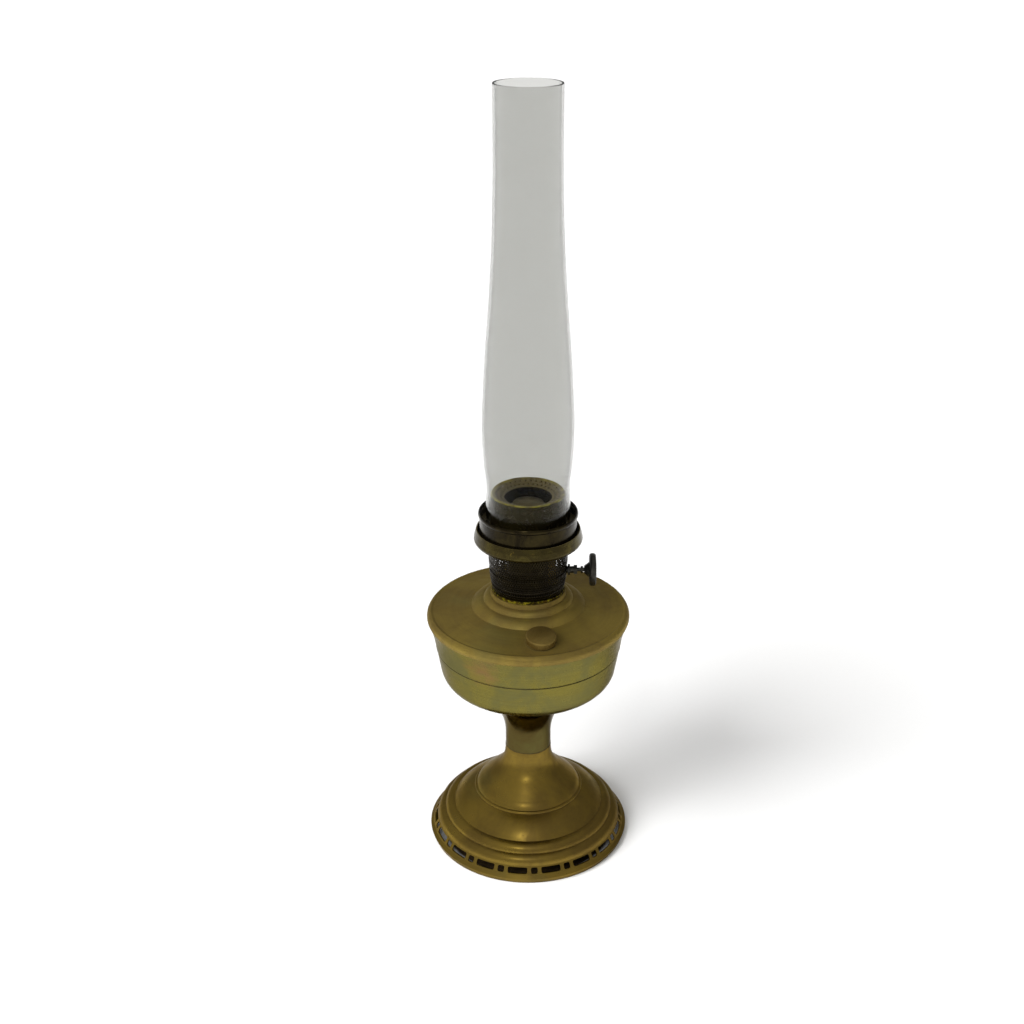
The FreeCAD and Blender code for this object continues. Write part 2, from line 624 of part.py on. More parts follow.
def make_font_top():
    shell = spun("font_top", [
        ("font_edge_radius - font_wall", EDGE),
        ("font_edge_radius + rim_overhang", EDGE),
        ("font_edge_radius - rim_inset", f"{EDGE} + rim_rise", "rim_round"),
        (SLOPE_OUTER, SLOPE_LOW),
        ("slope_radius", SLOPE_HIGH),
        ("outer_ring_radius", f"{EDGE} + outer_ring_rise", "outer_ring_round"),
        ("outer_ring_radius - ring_step / 2", f"{EDGE} + outer_ring_rise + ring_step"),
        ("inner_ring_radius", f"{EDGE} + inner_ring_rise", "inner_ring_round"),
        ("font_neck_radius", NECK_TOP),
        ("collar_radius", NECK_TOP),
    ], "font_wall")
    hole = doc.addObject("Part::Cylinder", "filler_hole")
    tie(hole, Radius="filler_radius", Height="2 * filler_root")
    at_filler(hole, "filler_root")
    node("font_top", cut("font_top", shell, hole))


def make_filler():
    neck = lathe("filler_neck", [
        ("filler_bore", "-filler_root"),
        ("filler_radius", "-filler_root"),
        ("filler_radius", "0"),
        ("filler_flange_radius", "0"),
        ("filler_flange_radius", "filler_flange"),
        ("filler_radius", "filler_flange"),
        ("filler_radius", "filler_height"),
        ("filler_bore", "filler_height"),
    ])
    node("filler_neck", at_filler(neck))
    gasket = lathe("filler_gasket", ring_section(
        "filler_bore", "filler_radius - close_gap",
        "filler_height + close_gap", "filler_height + close_gap + gasket_thickness"))
    node("filler_gasket", at_filler(gasket))
    under = "filler_height + 2 * close_gap + gasket_thickness"
    cap = lathe("filler_cap", [
        ("0", under),
        ("filler_radius + thread_gap", under),
        ("filler_radius + thread_gap", "filler_flange + cap_gap"),
        ("cap_radius", "filler_flange + cap_gap"),
        ("cap_radius", f"{under} + cap_top - cap_round"),
        ("cap_radius - cap_round", f"{under} + cap_top", "cap_round"),
        ("0", f"{under} + cap_top + cap_rise", crown("cap_radius - cap_round", "cap_rise")),
    ])
    node("filler_cap", at_filler(cap))


def make_collar():
    node("burner_collar", lathe("burner_collar", [
        ("collar_bore", f"{NECK_TOP} - collar_depth"),
        ("collar_radius", f"{NECK_TOP} - collar_depth"),
        ("collar_radius", NECK_TOP),
        ("collar_flange_radius", NECK_TOP),
        ("collar_flange_radius", COLLAR_TOP),
        ("collar_bore", COLLAR_TOP),
    ]))


def make_draft_tube():
    node("draft_tube", lathe("draft_tube", ring_section(
        "draft_tube_radius - draft_tube_wall", "draft_tube_radius", FLOOR, "draft_tube_top")))


# ---- burner ---------------------------------------------------------------------------

BASKET_TOP = f"({BASE_TOP} + basket_height)"
WICK_TUBE_BORE = "(wick_tube_radius - wick_tube_wall)"
PITCH_RADIUS = f"(tooth_module * {PINION_TEETH} / 2)"
PINION_END = "(wick_tube_radius + pinion_gap + pinion_length)"
GLAND_SEAT = "(basket_radius - gland_sink)"
COLLAR_START = "(basket_radius + spindle_collar_reach)"
KNOB_START = "(basket_radius + knob_reach)"
DRUM_RADIUS = "(basket_radius - basket_wall - drum_gap)"
DRUM_TOP_RADIUS = f"({DRUM_RADIUS} - drum_top_inset)"


def make_burner_base():
    skirt = "collar_bore - thread_gap"
    node("burner_base", lathe("burner_base", [
        (f"{skirt} - base_skirt_wall", f"{COLLAR_TOP} - base_skirt"),
        (skirt, f"{COLLAR_TOP} - base_skirt"),
        (skirt, COLLAR_TOP),
        ("base_flange_radius", COLLAR_TOP),
        ("base_flange_radius", BASE_TOP),
        (f"{skirt} - base_skirt_wall", BASE_TOP),
    ]))


def rack_slot(name):
    """A block that leaves the rack room over its whole travel, to cut from a part."""
    slot = doc.addObject("Part::Box", name)
    tie(slot, Length=f"{PINION_END} + rack_slot_gap",
        Width=f"{RACK_WIDTH} + 2 * rack_slot_gap",
        Height=f"{RACK_LENGTH} + wick_travel_up + wick_travel_down + 2 * rack_slot_gap")
    slot.setExpression("Placement.Base.y", formula(f"{RACK_BACK} - rack_slot_gap"))
    slot.setExpression("Placement.Base.z",
                       formula(f"{RACK_LOW} - wick_travel_down - rack_slot_gap"))
    return slot


def make_burner_floor():
    disc = lathe("floor_disc", ring_section(
        "wick_tube_radius", "collar_bore - thread_gap - base_skirt_wall",
        f"{BASE_TOP} - floor_thickness", BASE_TOP))
    node("burner_floor", cut("burner_floor", disc, rack_slot("floor_slot")))


def make_basket():
    shell = spun("burner_basket", [
        ("basket_radius - basket_foot_inset", BASE_TOP),
        ("basket_radius - basket_knee_inset", f"{BASE_TOP} + basket_knee_rise"),
        ("basket_radius", f"{BASE_TOP} + basket_band_rise"),
        ("basket_radius", BASKET_TOP),
    ], "basket_wall")
    tools = []
    for row_number in range(BASKET_ROWS):
        height = f"{BASE_TOP} + basket_hole_low + {row_number} * basket_hole_pitch"
        turn = 180 / BASKET_HOLES * (row_number % 2 + 0.5)
        tools += radial_holes(f"air_hole_{row_number + 1}", BASKET_HOLES, turn, height,
                              "basket_hole_radius", "basket_radius")
    drilled = cut("basket_drilled", shell, together("air_holes", tools))
    passage = doc.addObject("Part::Cylinder", "spindle_passage")
    tie(passage, Radius="gland_radius", Height="2 * basket_radius")
    passage.Placement = FreeCAD.Placement(V(0, 0, 0), ALONG_X)
    passage.setExpression("Placement.Base.z", formula("spindle_height"))
    node("burner_basket", cut("burner_basket", drilled, passage))


def make_wick_tube():
    tube = lathe("outer_wick_tube", ring_section(
        WICK_TUBE_BORE, "wick_tube_radius", "wick_tube_bottom", "wick_tube_top"))
    node("outer_wick_tube", cut("outer_wick_tube", tube, rack_slot("tube_slot")))


def make_gland():
    gland = lathe("spindle_gland", [
        ("spindle_radius + bearing_gap", f"{GLAND_SEAT} - gland_root"),
        ("gland_radius", f"{GLAND_SEAT} - gland_root"),
        ("gland_radius", "basket_radius + close_gap"),
        ("gland_flange_radius", "basket_radius + close_gap"),
        ("gland_flange_radius", "basket_radius + close_gap + gland_flange"),
        ("gland_radius", "basket_radius + close_gap + gland_flange"),
        ("gland_radius", f"{GLAND_SEAT} + gland_length"),
        ("spindle_radius + bearing_gap", f"{GLAND_SEAT} + gland_length"),
    ])
    node("spindle_gland", along_spindle(gland))
    hexagon = doc.addObject("Part::Prism", "gland_nut_hexagon")
    hexagon.Polygon = 6
    tie(hexagon, Circumradius="gland_nut_radius", Height="gland_nut_length")
    bore = doc.addObject("Part::Cylinder", "gland_nut_bore")
    tie(bore, Radius="spindle_radius + bearing_gap", Height="gland_nut_length")
    nut = cut("gland_nut", hexagon, bore)
    nut.Placement = FreeCAD.Placement(V(0, 0, 0), ALONG_X)
    nut.setExpression("Placement.Base.x", formula(f"{GLAND_SEAT} + gland_length"))
    nut.setExpression("Placement.Base.z", formula("spindle_height"))
    node("gland_nut", nut)


def along_spindle(thing):
    """Turn a piece made about +Z so that it lies along the spindle, towards +X."""
    thing.Placement = FreeCAD.Placement(V(0, 0, 0), ALONG_X)
    thing.setExpression("Placement.Base.z", formula("spindle_height"))
    return thing


def make_bayonet_pins():
    pins = []
    for count in range(BAYONET_PINS):
        angle = 45 + 360 / BAYONET_PINS * count
        pin = doc.addObject("Part::Cylinder", f"bayonet_pin_{count + 1}")
        tie(pin, Radius="pin_radius", Height="pin_reach")
        turn = FreeCAD.Rotation(AXIS, angle).multiply(ALONG_X)
        pin.Placement = FreeCAD.Placement(V(0, 0, 0), turn)
        start = "(sqrt((basket_radius - basket_wall)^2 - pin_radius^2) - pin_reach)"
        pin.setExpression("Placement.Base.x", formula(f"{start} * cos({angle})"))
        pin.setExpression("Placement.Base.y", formula(f"{start} * sin({angle})"))
        pin.setExpression("Placement.Base.z", formula(f"{BASKET_TOP} - pin_drop"))
        pins.append(pin)
    group = doc.addObject("Part::Compound", "bayonet_pins")
    group.Links = pins
    node("bayonet_pins", group)


# ---- wick and its drive ---------------------------------------------------------------

CARRIER_RADIUS = f"({WICK_TUBE_BORE} - carrier_gap)"
TOOTH_PITCH = "(pi * tooth_module)"
RACK_LENGTH = f"({RACK_TEETH} * {TOOTH_PITCH})"
RACK_LOW = f"(spindle_height - {RACK_LENGTH} / 2)"
RACK_ROOT = f"(-{PITCH_RADIUS} - rack_gap - 1.25 * tooth_module)"
RACK_BACK = f"({RACK_ROOT} - rack_back)"
RACK_WIDTH = "(1.25 * tooth_module + rack_back + tooth_module + rack_gap)"


def make_wick():
    node("wick", lathe("wick", ring_section(
        "draft_tube_radius + wick_gap", f"{CARRIER_RADIUS} - carrier_wall",
        "wick_bottom", "wick_top")))
    middle = f"({RACK_LOW} + {RACK_LENGTH} / 2)"
    node("wick_carrier", lathe("wick_carrier", ring_section(
        f"{CARRIER_RADIUS} - carrier_wall", CARRIER_RADIUS,
        f"{middle} - carrier_length / 2", f"{middle} + carrier_length / 2")))


def tooth_half(height):
    """Half the thickness of a tooth, this far outside its pitch line."""
    return (f"((pi / 2 * tooth_module - tooth_backlash) / 2"
            f" - ({height}) * tan(pressure_angle))")


def make_rack():
    body = body_of("wick_rack")
    strip = plane_sketch(body, "rack_strip", "YZ_Plane")
    draw(strip, [(RACK_BACK, RACK_LOW), (RACK_ROOT, RACK_LOW),
                 (RACK_ROOT, f"{RACK_LOW} + {RACK_LENGTH}"),
                 (RACK_BACK, f"{RACK_LOW} + {RACK_LENGTH}")], closed=True)
    doc.recompute()
    pad = body.newObject("PartDesign::Pad", "rack_strip_pad")
    pad.Profile = strip
    tie(pad, Length=PINION_END)
    body.Tip = pad
    doc.recompute()
    tooth = plane_sketch(body, "rack_tooth", "YZ_Plane")
    first = f"({RACK_LOW} + {TOOTH_PITCH} / 2)"
    tip = f"(-{PITCH_RADIUS} - rack_gap + tooth_module)"
    wide, narrow = tooth_half("-1.25 * tooth_module"), tooth_half("tooth_module")
    draw(tooth, [(RACK_ROOT, f"{first} - {wide}"), (tip, f"{first} - {narrow}"),
                 (tip, f"{first} + {narrow}"), (RACK_ROOT, f"{first} + {wide}")], closed=True)
    doc.recompute()
    teeth = body.newObject("PartDesign::Pad", "rack_tooth_pad")
    teeth.Profile = tooth
    tie(teeth, Length=PINION_END)
    body.Tip = teeth
    doc.recompute()
    row = body.newObject("PartDesign::LinearPattern", "rack_teeth")
    row.Originals = [teeth]
    axis = [item for item in body.Origin.OriginFeatures if item.Role == "Z_Axis"][0]
    row.Direction = (axis, [""])
    row.Mode = "Spacing"
    tie(row, Offset=TOOTH_PITCH)
    row.Occurrences = RACK_TEETH
    body.Tip = row
    doc.recompute()
    bore = doc.addObject("Part::Cylinder", "rack_seat")
    tie(bore, Radius=CARRIER_RADIUS, Height=f"{RACK_LENGTH} * 2")
    bore.setExpression("Placement.Base.z", formula(f"{RACK_LOW} - {RACK_LENGTH} / 2"))
    node("wick_rack", cut("wick_rack", body, bore))


def make_pinion():
    body = body_of("pinion")
    root = plane_sketch(body, "pinion_root", "XY_Plane")
    holes(root, [("0", "0")], f"{PITCH_RADIUS} - 1.25 * tooth_module")
    holes(root, [("0", "0")], "spindle_radius")
    doc.recompute()
    hub = body.newObject("PartDesign::Pad", "pinion_hub")
    hub.Profile = root
    tie(hub, Length="pinion_length")
    body.Tip = hub
    doc.recompute()
    tooth = plane_sketch(body, "pinion_tooth", "XY_Plane")
    low = f"(-{PITCH_RADIUS} + 1.4 * tooth_module)"
    tip = f"(-{PITCH_RADIUS} - tooth_module)"
    wide, narrow = tooth_half("-tooth_module / 2"), tooth_half("tooth_module")
    draw(tooth, [(f"-{wide}", low), (f"-{narrow}", tip), (narrow, tip), (wide, low)],
         closed=True)
    doc.recompute()
    teeth = body.newObject("PartDesign::Pad", "pinion_tooth_pad")
    teeth.Profile = tooth
    tie(teeth, Length="pinion_length")
    body.Tip = teeth
    doc.recompute()
    around(body, "pinion_teeth", [teeth], PINION_TEETH)
    along_spindle(body)
    body.setExpression("Placement.Base.x", formula("wick_tube_radius + pinion_gap"))
    node("pinion", body)


def make_knob():
    end = f"{KNOB_START} + knob_hub_length + knob_thickness"
    node("spindle", along_spindle(lathe("spindle", [
        ("0", "spindle_start"),
        ("spindle_radius", "spindle_start"),
        ("spindle_radius", COLLAR_START),
        ("spindle_collar_radius", COLLAR_START),
        ("spindle_collar_radius", f"{COLLAR_START} + spindle_collar_length"),
        ("spindle_radius", f"{COLLAR_START} + spindle_collar_length"),
        ("spindle_radius", f"{end} - knob_dish"),
        ("0", f"{end} - knob_dish"),
    ])))
    face = f"{KNOB_START} + knob_hub_length"
    node("wick_knob", along_spindle(lathe("wick_knob", [
        ("spindle_radius", KNOB_START),
        ("knob_hub_radius", KNOB_START),
        ("2 * knob_hub_radius", face),
        ("knob_radius - knob_round", face),
        ("knob_radius", f"{face} + knob_round", "knob_round"),
        ("knob_radius", f"{end} - knob_round"),
        ("knob_radius - knob_round", end, "knob_round"),
        ("rivet_radius + knob_round", f"{end} - knob_dish"),
        ("spindle_radius", f"{end} - knob_dish"),
    ])))
    node("knob_rivet", along_spindle(lathe("knob_rivet", [
        ("0", f"{end} - knob_dish"),
        ("rivet_radius", f"{end} - knob_dish"),
        ("0", f"{end} - knob_dish + rivet_height", crown("rivet_radius", "rivet_height")),
    ])))


# ---- gallery and chimney --------------------------------------------------------------

SAUCER = f"({BASKET_TOP} + saucer_gap)"
SAUCER_FLOOR = f"({SAUCER} + saucer_wall)"


def make_gallery_ring():
    node("gallery_ring", spun("gallery_ring", [
        (DRUM_RADIUS, SAUCER),
        ("saucer_floor_radius", SAUCER),
        ("saucer_radius", f"{SAUCER} + saucer_widest", "saucer_round"),
        ("saucer_ridge_radius", f"{SAUCER} + saucer_ridge"),
        ("saucer_lip_radius", f"{SAUCER} + saucer_height"),
    ], "saucer_wall"))


def make_chimney_cup():
    low = f"{SAUCER_FLOOR} + cup_height - cup_lip"
    node("chimney_cup", spun("chimney_cup", [
        ("cup_radius", SAUCER_FLOOR),
        ("cup_radius", low),
        ("cup_radius + cup_wall / 4", f"{low} + cup_lip", "cup_lip_round"),
    ], "cup_wall"))


def make_chimney_seat():
    node("chimney_seat", lathe("chimney_seat", ring_section(
        DRUM_RADIUS, "cup_radius - cup_wall", "seat_height - seat_thickness", "seat_height")))


def make_chimney_springs():
    body = body_of("chimney_springs")
    sketch = plane_sketch(body, "spring_side", "XZ_Plane")
    wall = "(sqrt((cup_radius - cup_wall)^2 - (spring_width / 2)^2) - close_gap)"
    nose = "(chimney_foot_radius + spring_gap)"
    knee, bend = "(seat_height + spring_height / 4)", "(seat_height + 2 * spring_height / 3)"
    draw(sketch, [
        (f"{wall} - spring_thickness", "seat_height"),
        (wall, "seat_height"),
        (wall, knee),
        (f"{nose} + spring_thickness", bend),
        (f"({nose} + {wall}) / 2 + spring_thickness", "seat_height + spring_height"),
        (f"({nose} + {wall}) / 2", "seat_height + spring_height"),
        (nose, bend),
        (f"{wall} - spring_thickness", f"{knee} - spring_thickness / 2"),
    ], closed=True)
    doc.recompute()
    leaf = body.newObject("PartDesign::Pad", "spring_leaf")
    leaf.Profile = sketch
    leaf.Midplane = True
    tie(leaf, Length="spring_width")
    body.Tip = leaf
    doc.recompute()
    around(body, "spring_ring", [leaf], CHIMNEY_SPRINGS)
    body.Placement = FreeCAD.Placement(V(0, 0, 0), FreeCAD.Rotation(AXIS, 22.5))
    node("chimney_springs", body)


def make_gallery_drum():
    shell = spun("gallery_drum", [
        (DRUM_RADIUS, f"{BASKET_TOP} - drum_skirt"),
        (DRUM_RADIUS, "seat_height"),
        (DRUM_TOP_RADIUS, "drum_top - drum_round"),
        (f"{DRUM_TOP_RADIUS} - drum_round", "drum_top", "drum_round"),
        ("drum_mouth_radius", "drum_top - drum_dip"),
    ], "drum_wall")
    half_step = 180 / DRUM_HOLES
    tools = radial_holes("drum_side_hole", DRUM_HOLES, half_step, "drum_top - drum_hole_drop",
                         "drum_hole_radius", DRUM_RADIUS)
    for name, circle, turn in (("drum_inner_hole", "drum_hole_inner", 0),
                               ("drum_outer_hole", "drum_hole_outer", half_step)):
        tools += upright_holes(name, DRUM_HOLES, turn, circle, "drum_top - drum_dip - drum_wall",
                               "drum_dip + drum_wall", "drum_hole_radius")
    drilled = cut("drum_drilled", shell, together("drum_holes", tools))
    node("gallery_drum", cut("gallery_drum", drilled, bayonet_slots()))


def bayonet_slots():
    """The L-shaped slots in the drum's skirt: up past a pin, then a turn."""
    room = "(pin_radius + bayonet_gap)"
    level = f"({BASKET_TOP} - pin_drop)"
    slack = f"({room} / {DRUM_RADIUS} * 180 / pi)"
    sectors = []
    for count in range(BAYONET_PINS):
        middle = 45 + 360 / BAYONET_PINS * count
        run = doc.addObject("Part::Cylinder", f"slot_run_{count + 1}")
        tie(run, Radius=f"{DRUM_RADIUS} + drum_wall", Height=f"2 * {room}",
            Angle=f"bayonet_turn + 2 * {slack}")
        entry = doc.addObject("Part::Cylinder", f"slot_entry_{count + 1}")
        tie(entry, Radius=f"{DRUM_RADIUS} + drum_wall",
            Height=f"drum_skirt - pin_drop + {room}", Angle=f"2 * {slack}")
        for piece, low, start in (
                (run, f"{level} - {room}", f"{middle} - bayonet_turn - {slack}"),
                (entry, f"{BASKET_TOP} - drum_skirt", f"{middle} - bayonet_turn - {slack}")):
            piece.Placement = FreeCAD.Placement(V(0, 0, 0), FreeCAD.Rotation(AXIS, 10))
            piece.setExpression("Placement.Base.z", formula(low))
            piece.setExpression("Placement.Rotation.Angle", formula(f"{start}"))
            sectors.append(piece)
    group = doc.addObject("Part::MultiFuse", "bayonet_slots")
    group.Shapes = sectors
    doc.recompute()
    return group


def make_chimney():
    outside = [("chimney_foot_radius", "0", None),
               ("chimney_foot_radius", "chimney_foot_rise", None),
               ("chimney_neck_radius", "chimney_neck_rise", "-chimney_neck_round"),
               ("chimney_bulge_radius", "chimney_bulge_rise", "chimney_bulge_round"),
               ("chimney_shoulder_radius", "chimney_shoulder_rise", "chimney_shoulder_round"),
               ("chimney_taper_radius", "chimney_taper_rise", "-chimney_taper_round"),
               ("chimney_top_radius", "chimney_straight_rise", None),
               ("chimney_top_radius", "chimney_height - glass_bead", None)]
    section = [(radius, f"seat_height + {rise}") + ((turn,) if turn else ())
               for radius, rise, turn in outside]
    top = "seat_height + chimney_height"
    section.append(("chimney_top_radius - glass_bead", top, "glass_bead"))
    section.append(("chimney_top_radius - glass_wall + glass_bead", top))
    section.append(("chimney_top_radius - glass_wall", f"{top} - glass_bead", "glass_bead"))
    # Down the inside: the same outline one wall further in, with its arcs taken backwards.
    for (radius, rise, turn), (above, height, bend) in zip(outside[-2::-1], outside[:0:-1]):
        point = (f"{radius} - glass_wall", f"seat_height + {rise}")
        section.append(point + ((f"-({bend}) + glass_wall",) if bend else ()))
    node("chimney", lathe("chimney", section))


def make_flame_spreader():
    bore = "(draft_tube_radius - draft_tube_wall)"
    plug = f"({bore} - spreader_gap)"
    brim = "(draft_tube_radius - spreader_gap)"
    low, top = "draft_tube_top - spreader_plug", "draft_tube_top + spreader_rise"
    sleeve = lathe("spreader_sleeve", [
        (f"{plug} - spreader_wall", low),
        (plug, low),
        (plug, "draft_tube_top + close_gap"),
        (brim, "draft_tube_top + close_gap"),
        (brim, "draft_tube_top + close_gap + spreader_wall"),
        (f"{plug} - spreader_wall", "draft_tube_top + close_gap + spreader_wall"),
    ])
    node("spreader_sleeve", sleeve)
    seat = "draft_tube_top + close_gap + spreader_wall"
    inner_crown = crown(f"{plug} - spreader_wall", "spreader_dome")
    cap = lathe("flame_spreader", [
        (f"{plug} - spreader_wall", seat),
        (plug, seat),
        (plug, top),
        ("0", f"{top} + spreader_dome", crown(plug, "spreader_dome")),
        ("0", f"{top} + spreader_dome - spreader_wall"),
        (f"{plug} - spreader_wall", f"{top} - spreader_wall", "-" + inner_crown),
    ])
    tools = radial_holes("spreader_hole", SPREADER_HOLES, 0, f"({seat} + {top}) / 2",
                         "spreader_hole_radius", "draft_tube_radius")
    node("flame_spreader", cut("spreader_drilled", cap, together("spreader_holes", tools)))


# ---- build, check and write -----------------------------------------------------------

MAKERS = (make_foot, make_stem, make_font_bowl, make_font_top, make_filler, make_collar,
          make_draft_tube, make_burner_base, make_burner_floor, make_basket, make_wick_tube,
          make_gland, make_bayonet_pins, make_wick, make_rack, make_pinion, make_knob,
          make_gallery_ring, make_chimney_cup, make_chimney_seat, make_chimney_springs,
          make_gallery_drum, make_chimney, make_flame_spreader)

for make in MAKERS:
    make()
doc.recompute()

for thing in doc.Objects:
    if {"Invalid", "Error"} & set(thing.State):
        raise ValueError(f"{thing.Label} failed: {thing.State}")
for name, thing in NODES.items():
    if thing.Shape.isNull() or not thing.Shape.isValid() or not thing.Shape.Solids:
        raise ValueError(f"{name} has no valid solid")

os.makedirs("parts", exist_ok=True)
for name, thing in NODES.items():
    thing.Shape.exportStep(f"parts/{name}.step")
    box = thing.Shape.optimalBoundingBox()
    print(f"{name:18s} {thing.Shape.Volume:10.1f} mm3  solids {len(thing.Shape.Solids)}"
          f"  r {max(abs(box.XMax), abs(box.XMin)):7.2f}  z {box.ZMin:7.2f} {box.ZMax:7.2f}")
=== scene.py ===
import math

import bmesh
import bpy
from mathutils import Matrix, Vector


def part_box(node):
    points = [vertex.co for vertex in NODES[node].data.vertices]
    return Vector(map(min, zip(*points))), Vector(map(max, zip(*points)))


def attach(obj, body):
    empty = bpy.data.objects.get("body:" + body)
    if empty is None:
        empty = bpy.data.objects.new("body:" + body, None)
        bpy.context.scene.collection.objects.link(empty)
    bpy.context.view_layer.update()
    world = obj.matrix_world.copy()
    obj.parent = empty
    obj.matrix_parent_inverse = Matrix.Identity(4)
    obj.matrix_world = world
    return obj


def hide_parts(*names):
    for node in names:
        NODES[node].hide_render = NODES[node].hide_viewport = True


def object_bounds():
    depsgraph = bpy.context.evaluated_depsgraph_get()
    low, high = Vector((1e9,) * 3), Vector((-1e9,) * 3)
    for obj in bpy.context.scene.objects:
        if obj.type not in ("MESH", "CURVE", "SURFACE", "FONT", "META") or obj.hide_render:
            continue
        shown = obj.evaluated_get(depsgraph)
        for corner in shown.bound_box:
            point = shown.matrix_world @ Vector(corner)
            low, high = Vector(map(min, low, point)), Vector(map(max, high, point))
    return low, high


# The looks of a brass table lamp with a round wick. Metres, +Z up, the origin on the
# lamp's axis on the floor, the knob along +X and the filler cap towards -Y.

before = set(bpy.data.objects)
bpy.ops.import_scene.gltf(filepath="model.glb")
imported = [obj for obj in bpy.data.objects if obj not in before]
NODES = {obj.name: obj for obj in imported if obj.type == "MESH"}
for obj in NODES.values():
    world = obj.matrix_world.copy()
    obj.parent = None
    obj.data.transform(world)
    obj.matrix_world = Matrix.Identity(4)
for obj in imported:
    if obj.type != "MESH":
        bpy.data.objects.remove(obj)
CAD_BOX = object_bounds()
MM = 0.001

CAMERA_PLACE = (0.0, -0.9552, 0.7185)
CAMERA_PITCH = 24.52            # degrees below the horizon
CAMERA_LENS = 49.22             # mm, on a sensor 36 mm wide
CAMERA_SHIFT = -0.0158
SUN_PLACE = (-1.6, -1.1, 1.6)   # only its direction counts
SUN_STRENGTH = 4.0
SUN_ANGLE = 38                  # degrees: the larger, the softer the shadow
GLINT_PLACE = (-0.22, -1.35, 1.45)
GLINT_POWER = 2.6
GLINT_SIZE = 0.11
SKY_SLOPE = (-0.42, -0.50, 0.757)           # the sky is brightest this way
SKY_RANGE = (-0.6, 1.0, 0.18, 0.62)         # from and to along the slope, and the strengths there
FLOOR_SIZE = 40.0
LIGHT_AIM = 0.3                 # the lights point at this share of the lamp's height

# Linear colours.
OLIVE = (0.25, 0.168, 0.030, 1.0)
BROWN = (0.17, 0.112, 0.026, 1.0)
GREY_GREEN = (0.15, 0.140, 0.048, 1.0)
COPPER = (0.26, 0.135, 0.060, 1.0)
PAINTED_GLINT = (0.70, 0.64, 0.05, 1.0)
SOOT = (0.012, 0.009, 0.004, 1.0)
DARK_OLIVE = (0.060, 0.047, 0.014, 1.0)
SMOKED_OLIVE = (0.085, 0.066, 0.018, 1.0)
SMOKED_BROWN = (0.035, 0.027, 0.009, 1.0)
DUST = (0.135, 0.105, 0.040, 1.0)
SHADE_AND_SEAM_DARK = (0.035, 0.025, 0.012, 1.0)
PAINTED_SHADE_BLACK = (0.012, 0.009, 0.005, 1.0)
# Dimmer reflections where the brass is seen at a flat angle: painted shade on the reflections,
# standing in for a darker room.
EDGE_TINT = (0.60, 0.57, 0.53, 1.0)

# ---- node materials -------------------------------------------------------------------


class Material:
    """A node material being built around one Principled shader."""

    def __init__(self, name):
        self.data = bpy.data.materials.new(name)
        self.data.use_nodes = True
        self.tree = self.data.node_tree
        self.shader = self.tree.nodes["Principled BSDF"]
        where = self.add("TexCoord")
        self.place = where.outputs["Object"]
        self.facing = where.outputs["Normal"]

    def add(self, kind, **settings):
        node = self.tree.nodes.new("ShaderNode" + kind)
        for key, value in settings.items():
            setattr(node, key, value)
        return node

    def feed(self, node, socket, value):
        """A socket gets a link or a plain value."""
        if isinstance(value, bpy.types.NodeSocket):
            self.tree.links.new(value, node.inputs[socket])
        else:
            node.inputs[socket].default_value = value

    def calc(self, operation, first, second=0.0, clamp=False):
        node = self.add("Math", operation=operation, use_clamp=clamp)
        self.feed(node, 0, first)
        self.feed(node, 1, second)
        return node.outputs[0]

    def mix(self, amount, first, second):
        """A colour between two colours."""
        node = self.add("Mix", data_type="RGBA")
        self.feed(node, 0, amount)
        self.feed(node, 6, first)
        self.feed(node, 7, second)
        return node.outputs[2]

    def between(self, value, low, high, to_low=0.0, to_high=1.0):
        """The value's place between low and high, as a number from to_low to to_high."""
        node = self.add("MapRange", interpolation_type="SMOOTHSTEP")
        for socket, given in enumerate((value, low, high, to_low, to_high)):
            self.feed(node, socket, given)
        return node.outputs[0]

    def noise(self, size, detail=3.0, rough=0.5, bend=0.0, place=None, shift=0.0):
        """Noise whose patches are about this many metres across, from 0 to 1."""
        place = place or self.place
        if shift:
            moved = self.add("VectorMath", operation="ADD")
            self.feed(moved, 0, place)
            self.feed(moved, 1, (shift, shift, shift))
            place = moved.outputs[0]
        node = self.add("TexNoise")
        self.feed(node, "Vector", place)
        self.feed(node, "Scale", 1 / size)
        self.feed(node, "Detail", detail)
        self.feed(node, "Roughness", rough)
        self.feed(node, "Distortion", bend)
        return node.outputs["Fac"]

    def parts(self, vector=None):
        """The three coordinates of the surface point, or of a vector."""
        node = self.add("SeparateXYZ")
        self.feed(node, 0, vector or self.place)
        return node.outputs

    def lathe_place(self, pull):
        """A place that changes fast across the turning marks and slowly along them."""
        x, y, z = self.parts()
        flat = self.add("CombineXYZ")
        self.feed(flat, 0, x)
        self.feed(flat, 1, y)
        reach = self.add("VectorMath", operation="LENGTH")
        self.feed(reach, 0, flat.outputs[0])
        heading = self.add("VectorMath", operation="NORMALIZE")
        self.feed(heading, 0, flat.outputs[0])
        slow = self.add("VectorMath", operation="SCALE")
        self.feed(slow, 0, heading.outputs[0])
        self.feed(slow, "Scale", pull)
        across = self.calc("ADD", z, self.calc("MULTIPLY", reach.outputs["Value"], 0.83))
        lift = self.add("CombineXYZ")
        self.feed(lift, 2, across)
        whole = self.add("VectorMath", operation="ADD")
        self.feed(whole, 0, slow.outputs[0])
        self.feed(whole, 1, lift.outputs[0])
        return whole.outputs[0]

    def bump(self, height, depth, strength=1.0, under=None):
        """Relief of this depth in metres."""
        node = self.add("Bump")
        self.feed(node, "Strength", strength)
        self.feed(node, "Distance", depth)
        self.feed(node, "Height", height)
        if under is not None:
            self.feed(node, "Normal", under)
        return node.outputs[0]

    def finish(self, colour=None, rough=None, normal=None, metallic=None, **plain):
        for socket, value in (("Base Color", colour), ("Roughness", rough),
                              ("Normal", normal), ("Metallic", metallic)):
            if value is not None:
                self.feed(self.shader, socket, value)
        for socket, value in plain.items():
            self.shader.inputs[socket.replace("_", " ")].default_value = value
        return self.data


